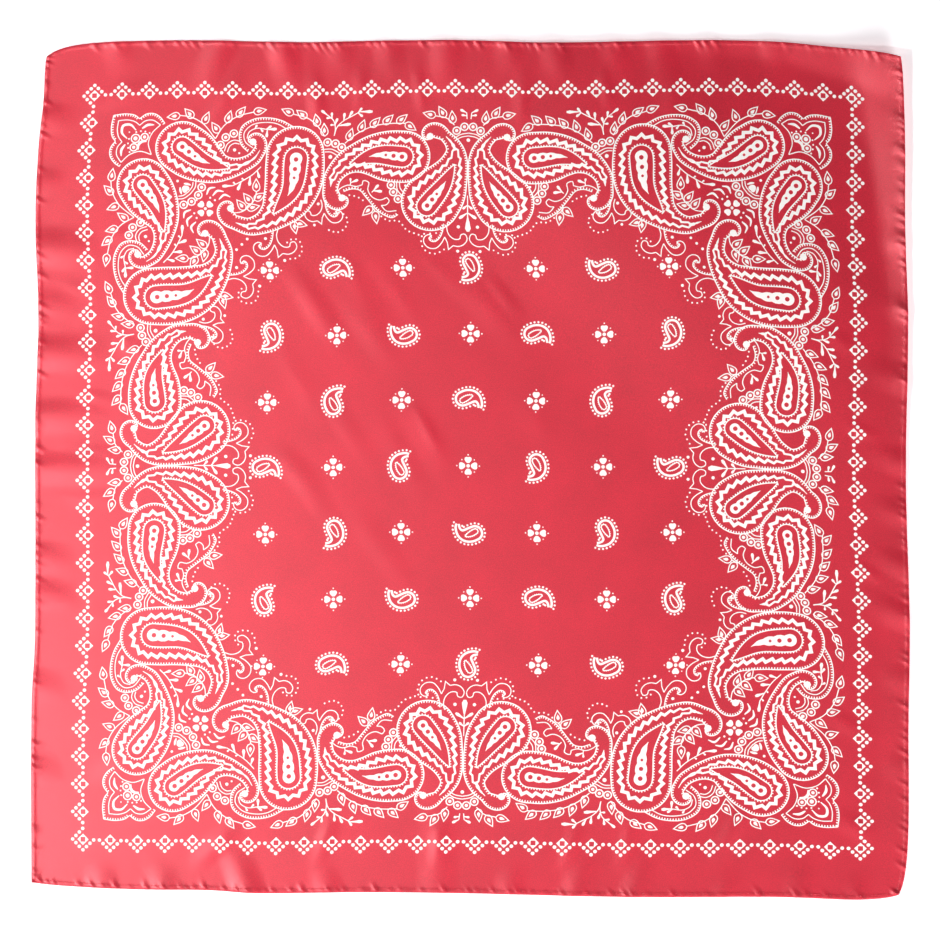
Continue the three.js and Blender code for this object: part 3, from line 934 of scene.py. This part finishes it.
# (points of the twig, buds as (share of the way, lean in degrees, length))
TWIGS = [
    ([(-130, 192), (-135, 187), (-141, 183), (-147.5, 179.5)],
     [(0.15, 60, 5), (0.42, 52, 6), (0.72, 40, 6), (0.62, -60, 2), (0.9, -65, 2.2), (1, -24, 6.5)]),
    ([(-84.5, 211.5), (-83, 217), (-79, 221), (-73.5, 224), (-69, 226.5)],
     [(0.3, -45, 8), (0.5, 50, 5), (0.65, 35, 5), (0.94, 22, 4), (0.94, -68, 4), (1, -30, 8)]),
    ([(-84.5, 211.5), (-84, 216), (-85.5, 221.5), (-89.5, 225)],
     [(0.45, 75, 3), (0.45, -30, 4.5), (0.75, -40, 4), (0.8, 40, 3), (1, 0, 5)]),
    ([(-139.5, 210), (-138.5, 214), (-134.5, 216.5), (-127, 216)],
     [(0.5, 38, 3), (0.72, -42, 3), (0.95, 40, 4), (1, -85, 5), (1, 10, 6)]),
    ([(-1.2, 221), (-1.6, 225)], [(0.5, 75, 3.5), (1, 58, 4.5)]),
    ([(-73.5, 179.5), (-73.3, 181)], [(1, 12, 3), (1, -62, 5)]),
    ([(-60, 174.5), (-59, 175.5)], [(1, 5, 5), (1, -50, 5.5)]),
    ([(0, 166), (0, 160.5)], [(0, -50, 4), (0.9, -56, 6.5)]),
]


def along_stem(path, share, lean):
    """A place on a stem, and the direction that leans from the stem's own there."""
    far = lengths(path)[-1]
    before, here, after = at_place(path, np.clip(share * far + np.array([-0.5, 0, 0.5]), 0, far))
    x, y = (after - before) / np.hypot(*(after - before))
    c, s = math.cos(math.radians(lean)), math.sin(math.radians(lean))
    return here, np.array([x * c - y * s, x * s + y * c])


def stem(pen, points, leaves):
    path = curve(points)
    pen.line(path)
    for share, lean in leaves:
        base, way = along_stem(path, share, lean)
        pen.leaf(base, base + way * LEAF_LENGTH)


def twig(pen, points, buds):
    path = curve(points)
    pen.line(path)
    for share, lean, length in buds:
        base, way = along_stem(path, share, lean)
        club = base + np.outer([0, 0.4, 0.75, 1], way * length)
        pen.line(club, np.array([0.6, 1.2, 2.1, 1.2]) * min(1, 0.4 + length / 10))


for row in STEMS:
    stem(eighth, *row)
for row in TWIGS:
    twig(eighth, *row)

# %% Fans, palmettes and scrolls
RING_PETALS = [(-156, 205.5), (-153, 210.5), (-148, 213), (-88.5, 207.5), (-83.5, 206.5),
               (-79.5, 204), (-48, 179), (-46.5, 174.5), (-43.5, 170), (-7.5, 213.5), (-2.7, 216),
               (-167, 178.2), (-169, 173.2), (-204.5, 211)]
ARCS = [
    [(-153.5, 201.5), (-151.5, 206.5), (-147.5, 208.8), (-143.5, 208)],
    [(-151.5, 201), (-150, 205), (-147, 206.8), (-144, 206.3)],
    [(-90.5, 203), (-86, 203), (-81, 200.5)], [(-90, 201.3), (-86.5, 201.2), (-82.5, 199)],
    [(-44.5, 181), (-44, 176), (-40.5, 171.5)], [(-42.7, 181), (-42.2, 177), (-39.5, 173.5)],
    [(-9, 208.5), (-5, 211), (0, 212)], [(-8.5, 206.8), (-4.8, 209.2), (0, 210.2)],
    [(-170.7, 182), (-171, 178.5), (-174, 174)], [(-172.5, 181.5), (-172.8, 179), (-175.3, 175.3)],
]
# The toothed edges and the plain ones of the palmette in the corner and of the arch
TOOTHED = [
    [(-225.5, 225.5), (-217, 226.2), (-211.5, 225), (-208.7, 222.8)],
    [(-208.7, 222.8), (-204.5, 225.8), (-200, 226), (-195.5, 223.5), (-192.3, 219.5)],
    [(-138.5, 201.5), (-143, 206), (-144.5, 211.5), (-143.5, 217), (-136, 222.5), (-127, 223.5),
     (-118, 221.7), (-111, 218)],
    [(-43.5, 160), (-47.5, 158), (-51.5, 159.5), (-56, 162.5), (-60.5, 167.5), (-64, 172),
     (-67.5, 176), (-72.5, 177), (-77.5, 175.5)],
]
PLAIN = [
    [(-222, 222), (-215.5, 222.2), (-211, 220.8), (-208.2, 218.6)],
    [(-208.2, 218.6), (-205, 221.3), (-200.5, 221.8), (-195, 218.6)],
    [(-195, 218.6), (-199.8, 213.5), (-201.8, 207), (-199.6, 199.6)],
    [(-135.5, 204), (-140.5, 208), (-141.5, 213.5), (-138, 218), (-129, 220.5), (-120.5, 219.5),
     (-115, 216.5)],
    [(-82, 175.5), (-79, 178), (-75, 179.5), (-69.5, 178.5), (-66, 179.5)],
    [(-66, 179.5), (-65.5, 182), (-62, 181), (-62.5, 176.5), (-59, 171), (-54.5, 169.5), (-50.5, 171)],
    [(-50.5, 171), (-49, 169), (-51, 166.3), (-54, 166)], [(-54, 166), (-51, 162.5), (-44.5, 162.5)],
]
# (full width, points)
CRESCENTS = [
    (1.4, [(-163.8, 173.5), (-162, 177.5), (-158.3, 178.2)]),
    (1.4, [(-160, 172.8), (-157, 176), (-153, 175.6)]),
    (1.4, [(-156, 170.5), (-152.5, 173.6), (-148.8, 172.2)]),
    (1.7, [(-206.5, 216.5), (-203, 218.7), (-199, 218.7)]),
    (1.5, [(-178.3, 180.6), (-176, 180.3), (-173.8, 179.6)]),
]
# One scroll, from its point: a foot that curls one way, and a toothed hook the other way
SCROLL_FOOT = [(0.5, 18), (-0.5, 14), (1, 9), (4.5, 6.5), (7.5, 7), (8, 9.3), (10.5, 10), (12, 7),
               (10, 3.5), (6.5, 2), (3, 2.5)]
SCROLL_POINT = [(3, 2.5), (0, 0), (-0.5, 4.5), (-2, 8)]
SCROLL_HOOK = [(-2, 8), (-4.3, 4), (-8, 0.8), (-12.5, 1.2), (-15.3, 4.8), (-14.7, 8), (-12, 9.6),
               (-10, 8.9)]
SCROLL_INSIDE = [(-10, 8.9), (-12, 7.3), (-11, 5.6), (-8.6, 5), (-5.6, 7), (-3.3, 11.5), (-2.5, 16.5)]
# (place of the point, size, mirrored or not)
SCROLLS = [((-12.7, 137.5), 1, 1), ((-119.5, 134), 1, 1), ((-91.5, 155), 0.87, -1)]
# Trails of small dots at even distances
TRAILS = [
    [(-54, 159), (-50, 156.2), (-43.5, 156), (-38, 149.8), (-31, 147)], [(-27.5, 147.5), (-20, 148)],
    [(-29, 146), (-29.6, 141.5), (-26.5, 136.3), (-21, 134.8), (-15.5, 137.5)],
    [(-113.5, 143.5), (-110.5, 145.7), (-106.3, 145), (-104.4, 141), (-105.2, 136), (-108.5, 133.4),
     (-112, 133)],
    [(-83.5, 161.5), (-80.5, 162), (-76.5, 160), (-75.3, 155.5), (-78, 151), (-82, 149.4),
     (-87, 151)],
    [(-74, 173), (-69.5, 172), (-65.5, 169.5)],
    [(-201.5, 213.5), (-205.5, 214.8), (-210, 214.3)],
]
# (s, t, radius)
SINGLE_DOTS = [(-7, 136.5, 1), (-6, 152, 1.1), (-115.5, 132, 1), (-96, 154.5, 0.9), (-93.5, 168, 1),
               (-147, 202.5, 1.1), (-144, 200.5, 0.7), (-86.5, 198, 1.3), (-39, 178.5, 0.8),
               (-138.5, 145.5, 0.9), (-127, 146, 1), (-161.5, 171.5, 0.7), (-158.5, 170, 0.7)]
# Marks on the mirror lines, which quarter turns alone carry round
AXIS_DOTS = [(0, 207.5, 1.2), (-142, 142, 0.9), (-164.5, 164.5, 1), (-170, 170, 0.6),
             (-182.3, 182.3, 0.9), (-214.4, 214.4, 0.5)]


def scroll(pen, point, size, mirror):
    def placed(points):
        return np.array(points) * [size * mirror, size] + point

    for part in (SCROLL_FOOT, SCROLL_HOOK, SCROLL_INSIDE):
        pen.line(curve(placed(part)))
    pen.line(placed(SCROLL_POINT))
    pen.teeth(curve(placed(SCROLL_INSIDE)), mirror, 0.9)


for place in RING_PETALS:
    eighth.ring(place, 2.35, 0.8)
    eighth.dots([place], 1.1)
for points in ARCS + TOOTHED + PLAIN:
    eighth.line(curve(points))
for points in TOOTHED:
    eighth.teeth(curve(points), -1)
for width, points in CRESCENTS:
    path = curve(points, 0.8)
    eighth.line(path, 0.35 + (width - 0.35) * np.sin(math.pi * np.linspace(0.1, 0.95, len(path))))
for row in SCROLLS:
    scroll(eighth, *row)
for points in TRAILS:
    path = curve(points)
    count = round(lengths(path)[-1] / 3.1) + 1
    eighth.dots(at_place(path, np.linspace(0, lengths(path)[-1], count)), 0.6)
for s, t, radius in SINGLE_DOTS:
    eighth.dots([(s, t)], radius)

axis = Pen()
for s, t, radius in AXIS_DOTS:
    axis.dots([(s, t)], radius)
for x, y in ((1, 0), (0, 1), (-1, 0), (0, -1)):
    petal(axis, (-164.5 + 2.6 * (x - y), 164.5 + 2.6 * (x + y)), (x - y, x + y))
axis.ring((-210.2, 210.2), 2.7, 0.8)
axis.dots([(-210.2, 210.2)], 1.4)
axis.line([(-203, 208.2), (-205.4, 208.3), (-207.3, 207.3), (-208.3, 205.4), (-208.2, 203)],
          np.array([0.9, 1.6, 1.9, 1.6, 0.9]))
petal(axis, (-177.3, 177.3), (1, -1), 1.1)
path = curve([(-215.5, 210.2), (-219.2, 214.4), (-218.6, 218.6), (-214.4, 219.2), (-210.2, 215.5)], 0.8)
axis.line(path, 0.3 + 1.4 * np.sin(math.pi * np.linspace(0.06, 0.94, len(path))))
axis.line([(0, 172), (0, 157)])
axis.line([(0, 158), (0, 154), (0, 151), (0, 149)], np.array([0.9, 2.6, 3.6, 1.6]))

frame_marks = eighth.copies()
frame_marks.join(*axis.copies(mirrored=False).flat())
print_frame = print_piece("print_frame", frame_marks)

# %% [markdown]
# ## Sums of sockets
# A material is a graph of nodes, and its maths is easier to read as a line of Python. `Socket`
# wraps an output, and each operator adds the Math node that does it.


# %% Helper for material graphs
class Socket:
    """A node's output in a material, used in sums."""

    def __init__(self, tree, output):
        self.tree, self.output = tree, output

    def node(self, kind, settings=(), stops=(), output=0, **inputs):
        """Adds a node of a kind, sets it up, and links or sets its inputs."""
        made = self.tree.nodes.new(kind)
        for name, value in dict(settings).items():
            setattr(made, name, value)
        for k, (place, colour) in enumerate(stops):
            element = made.color_ramp.elements
            element = element[k] if k < 2 else element.new(place)
            element.position, element.color = place, colour
        for key, value in inputs.items():
            target = made.inputs[int(key[1:]) if key[1:].isdigit() else key.replace("_", " ")]
            if isinstance(value, Socket):
                self.tree.links.new(value.output, target)
            else:
                target.default_value = value
        return Socket(self.tree, made.outputs[output])

    def math(self, operation, a, b=0.0, c=0.0):
        return self.node("ShaderNodeMath", {"operation": operation}, i0=a, i1=b, i2=c)

    def __add__(self, other):
        return self.math("ADD", self, other)

    def __sub__(self, other):
        return self.math("SUBTRACT", self, other)

    def __rsub__(self, other):
        return self.math("SUBTRACT", other, self)

    def __mul__(self, other):
        return self.math("MULTIPLY", self, other)

    __radd__, __rmul__ = __add__, __mul__

    def part(self, name):
        """Another output of the same node."""
        return Socket(self.tree, self.output.node.outputs[name])


def new_material(name):
    """A material, its Principled shader, and where a point is on the object, in metres."""
    material = bpy.data.materials.new(name)
    material.use_nodes = True
    tree = material.node_tree
    shader = tree.nodes["Principled BSDF"]
    place = Socket(tree, tree.nodes.new("ShaderNodeTexCoord").outputs["Object"])
    return material, shader, place


# %% [markdown]
# ## Red satin
# Satin is woven so that long threads lie on the face. Up close it is a fine slanting twill, and
# from a step away it has a broad soft sheen with a faint grain. The colour is a red dye that is
# lighter where the sheen is. The weave is two waves of the object's own coordinates, so it keeps its
# size on every piece, and a fine noise breaks it up. Painted shade darkens the red between the hem's
# gathers.

# %% Satin
TWILL = 0.42
SATIN_RED = (0.95, 0.015, 0.052, 1)
SATIN_DEEP = (0.62, 0.008, 0.03, 1)


def satin_material(name):
    material, shader, place = new_material(name)
    axes = place.node("ShaderNodeSeparateXYZ", Vector=place)
    x, y = axes.part("X"), axes.part("Y")
    wave = (x + y * 0.62) * (2 * math.pi / (TWILL * MM))
    twill = wave.math("SINE", wave) * 0.5 + 0.5
    grain = place.node("ShaderNodeTexNoise", Vector=place, Scale=1700, Detail=2, Roughness=0.6)
    cloud = place.node("ShaderNodeTexNoise", Vector=place, Scale=28, Detail=3, Roughness=0.55)
    # Painted shade: the red is darkened in the valleys between the hem's gathers, by the value each
    # point keeps.
    tuck_shade = place.node("ShaderNodeAttribute", {"attribute_name": "tuck_shade"}, output=2)
    mix = (grain.part("Fac") - 0.5) * 2 + (cloud.part("Fac") - 0.5) * 0.8 + twill * 0.2 + 0.4
    mix = mix - tuck_shade * 0.9
    colour = mix.node(
        "ShaderNodeValToRGB", stops=((0, SATIN_DEEP), (1, SATIN_RED)), Fac=mix)
    shader.inputs["Roughness"].default_value = 0.45
    shader.inputs["IOR"].default_value = 2
    shader.inputs["Metallic"].default_value = 0.25
    tree = material.node_tree
    tree.links.new(colour.output, shader.inputs["Base Color"])
    height = twill * 0.5 + grain.part("Fac")
    bumped = height.node("ShaderNodeBump", Height=height, Strength=0.25, Distance=0.00006)
    tree.links.new(bumped.output, shader.inputs["Normal"])
    shader.inputs["Sheen Weight"].default_value = 0.02
    shader.inputs["Sheen Roughness"].default_value = 0.4
    shader.inputs["Sheen Tint"].default_value = (1, 0.6, 0.65, 1)
    return material


satin = satin_material("red_satin")
for piece in [panel, *hems]:
    piece.data.materials.append(satin)

# %% [markdown]
# ## Stitches of the hem
# A rolled hem is held by small slip stitches in thread of the same red. They all look alike and
# follow one line round the cloth, so nodes set them out: a thin bead is placed at even steps on
# the line, turned along it, and made a little longer or shorter each time.

# %% Stitches
STITCH_INSET = 2.6
STITCH_PITCH = 2.4
STITCH_SIZE = (0.8, 0.22, 0.16)


def stitch_nodes():
    tree = bpy.data.node_groups.new("stitches", "GeometryNodeTree")
    tree.interface.new_socket("Line", in_out="INPUT", socket_type="NodeSocketGeometry")
    tree.interface.new_socket("Pitch", in_out="INPUT", socket_type="NodeSocketFloat")
    tree.interface.new_socket("Thread", in_out="INPUT", socket_type="NodeSocketMaterial")
    tree.interface.new_socket("Stitches", in_out="OUTPUT", socket_type="NodeSocketGeometry")

    def add(kind, **inputs):
        node = tree.nodes.new(kind)
        for name, value in inputs.items():
            target = node.inputs[name.replace("_", " ")]
            if isinstance(value, bpy.types.NodeSocket):
                tree.links.new(value, target)
            else:
                target.default_value = value
        return node

    given = tree.nodes.new("NodeGroupInput").outputs
    line = add("GeometryNodeMeshToCurve", Mesh=given["Line"]).outputs[0]
    steps = tree.nodes.new("GeometryNodeResampleCurve")
    if "Mode" in steps.inputs:
        steps.inputs["Mode"].default_value = "Length"
    else:
        steps.mode = "LENGTH"
    tree.links.new(line, steps.inputs["Curve"])
    tree.links.new(given["Pitch"], steps.inputs["Length"])
    bead = add("GeometryNodeMeshIcoSphere", Radius=MM, Subdivisions=1).outputs["Mesh"]
    bead = add("GeometryNodeTransform", Geometry=bead, Scale=STITCH_SIZE).outputs[0]
    turned = tree.nodes.new("FunctionNodeAlignRotationToVector")
    turned.axis = "X"
    tree.links.new(tree.nodes.new("GeometryNodeInputTangent").outputs[0], turned.inputs["Vector"])
    size = tree.nodes.new("FunctionNodeRandomValue")
    size.data_type = "FLOAT"
    for name, value in (("Min", 0.8), ("Max", 1.2)):
        next(i for i in size.inputs if i.name == name and i.type == "VALUE").default_value = value
    size.inputs["Seed"].default_value = 5
    share = next(o for o in size.outputs if o.type == "VALUE")
    placed = add("GeometryNodeInstanceOnPoints", Points=steps.outputs[0], Instance=bead,
                 Rotation=turned.outputs[0], Scale=share).outputs[0]
    whole = add("GeometryNodeRealizeInstances", Geometry=placed).outputs[0]
    whole = add("GeometryNodeSetMaterial", Geometry=whole, Material=given["Thread"]).outputs[0]
    tree.links.new(whole, tree.nodes.new("NodeGroupOutput").inputs[0])
    return tree


def make_stitches(thread):
    ring = ring_places(STITCH_INSET, 448)
    mesh = bpy.data.meshes.new("hem_line")
    i = np.arange(len(ring))
    height = CLOTH + roll(*ring.T)
    mesh.from_pydata(surface(*ring.T, height).tolist(),
                     np.stack([i, (i + 1) % len(ring)], 1).tolist(), [])
    piece = bpy.data.objects.new("hem_stitches", mesh)
    bpy.context.scene.collection.objects.link(piece)
    modifier = piece.modifiers.new("stitches", "NODES")
    tree = stitch_nodes()
    modifier.node_group = tree
    names = {item.name: item.identifier for item in tree.interface.items_tree}
    modifier[names["Pitch"]] = STITCH_PITCH * MM
    modifier[names["Thread"]] = thread
    done = bpy.data.meshes.new_from_object(piece.evaluated_get(bpy.context.evaluated_depsgraph_get()))
    piece.modifiers.clear()
    piece.data = done
    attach(piece, "root")
    print(f"hem_stitches: {len(done.polygons) // 20} stitches, {len(done.polygons)} triangles")
    return piece


stitches = make_stitches(satin)

# %% [markdown]
# ## White ink
# Screen ink is opaque and matt, a little warm, and thinner in places, where the red shows
# through. A fine noise mixes a clean white with one that is slightly pink, and a faint warm glow is
# painted light.

# %% Ink
INK_WHITE = (1, 0.97, 0.94, 1)
INK_THIN = (0.97, 0.86, 0.84, 1)


def ink_material(name):
    material, shader, place = new_material(name)
    grain = place.node("ShaderNodeTexNoise", Vector=place, Scale=900, Detail=2, Roughness=0.6)
    cover = grain.part("Fac") * 1.6 - 0.3
    colour = cover.node("ShaderNodeValToRGB", stops=((0, INK_THIN), (1, INK_WHITE)), Fac=cover)
    material.node_tree.links.new(colour.output, shader.inputs["Base Color"])
    shader.inputs["Roughness"].default_value = 0.6
    # Painted light: the ink glows faintly and warmly, so that the white stays bright where the lamps
    # are weak.
    shader.inputs["Emission Color"].default_value = (1, 0.94, 0.88, 1)
    shader.inputs["Emission Strength"].default_value = 0.1
    return material


ink = ink_material("white_ink")
prints = [print_border, print_field, print_frame]
for piece in prints:
    piece.data.materials.append(ink)

# %% [markdown]
# ## Table and light
# The photograph is a plain product picture: a white table and one broad soft light low at the left
# front, which gives the satin its glow there and lets it darken towards the raised corner.

# %% Table
FLOOR_SIZE = 12000


def make_floor():
    half = FLOOR_SIZE / 2 * MM
    mesh = bpy.data.meshes.new("table")
    mesh.from_pydata([(-half, -half, 0), (half, -half, 0), (half, half, 0), (-half, half, 0)],
                     [], [(0, 1, 2, 3)])
    floor = bpy.data.objects.new("table", mesh)
    floor.location.z = -0.2 * MM
    bpy.context.scene.collection.objects.link(floor)
    material, shader, place = new_material("white_table")
    shade = place.node("ShaderNodeTexNoise", Vector=place, Scale=3)
    pale = shade.node("ShaderNodeValToRGB",
                      stops=((0, (0.86, 0.86, 0.87, 1)), (1, (0.9, 0.9, 0.9, 1))), Fac=shade)
    material.node_tree.links.new(pale.output, shader.inputs["Base Color"])
    shader.inputs["Roughness"].default_value = 0.9
    shader.inputs["Emission Color"].default_value = (1, 0.93, 0.97, 1)
    shader.inputs["Emission Strength"].default_value = 0.44
    mesh.materials.append(material)


make_floor()


# %% Lights
def area_light(name, place, aim, size, power, spread=180):
    light = bpy.data.objects.new(name, bpy.data.lights.new(name, "AREA"))
    light.data.shape = "DISK"
    light.data.size = size
    light.data.energy = power
    light.data.spread = math.radians(spread)
    light.location = place
    light.rotation_mode = "QUATERNION"
    light.rotation_quaternion = (Vector(aim) - Vector(place)).to_track_quat("-Z", "Y")
    bpy.context.scene.collection.objects.link(light)


area_light("key", (-0.75, -0.43, 1.23), (0, 0, 0), 0.12, 10.6)
area_light("left_spot", (-1.2, 0, 1.72), (-0.3, 0.2, 0), 0.4, 0.75, 40)
area_light("front_fill", (0.95, -1.65, 0.89), (0, 0.05, 0), 0.9, 8, 70)

world = bpy.data.worlds.new("studio")
world.use_nodes = True
sky = Socket(world.node_tree, world.node_tree.nodes.new("ShaderNodeTexCoord").outputs["Generated"])
axes = sky.node("ShaderNodeSeparateXYZ", Vector=sky)
bright = axes.part("Z").node(
    "ShaderNodeValToRGB", Fac=axes.part("Z"),
    stops=((0, (0.35, 0.34, 0.35, 1)), (1, (0, 0, 0, 1)), (0.5, (0.13, 0.13, 0.14, 1)),
           (0.75, (0.02, 0.02, 0.02, 1))))
world.node_tree.links.new(bright.output, world.node_tree.nodes["Background"].inputs["Color"])
bpy.context.scene.world = world
bpy.context.scene.view_settings.view_transform = "Standard"
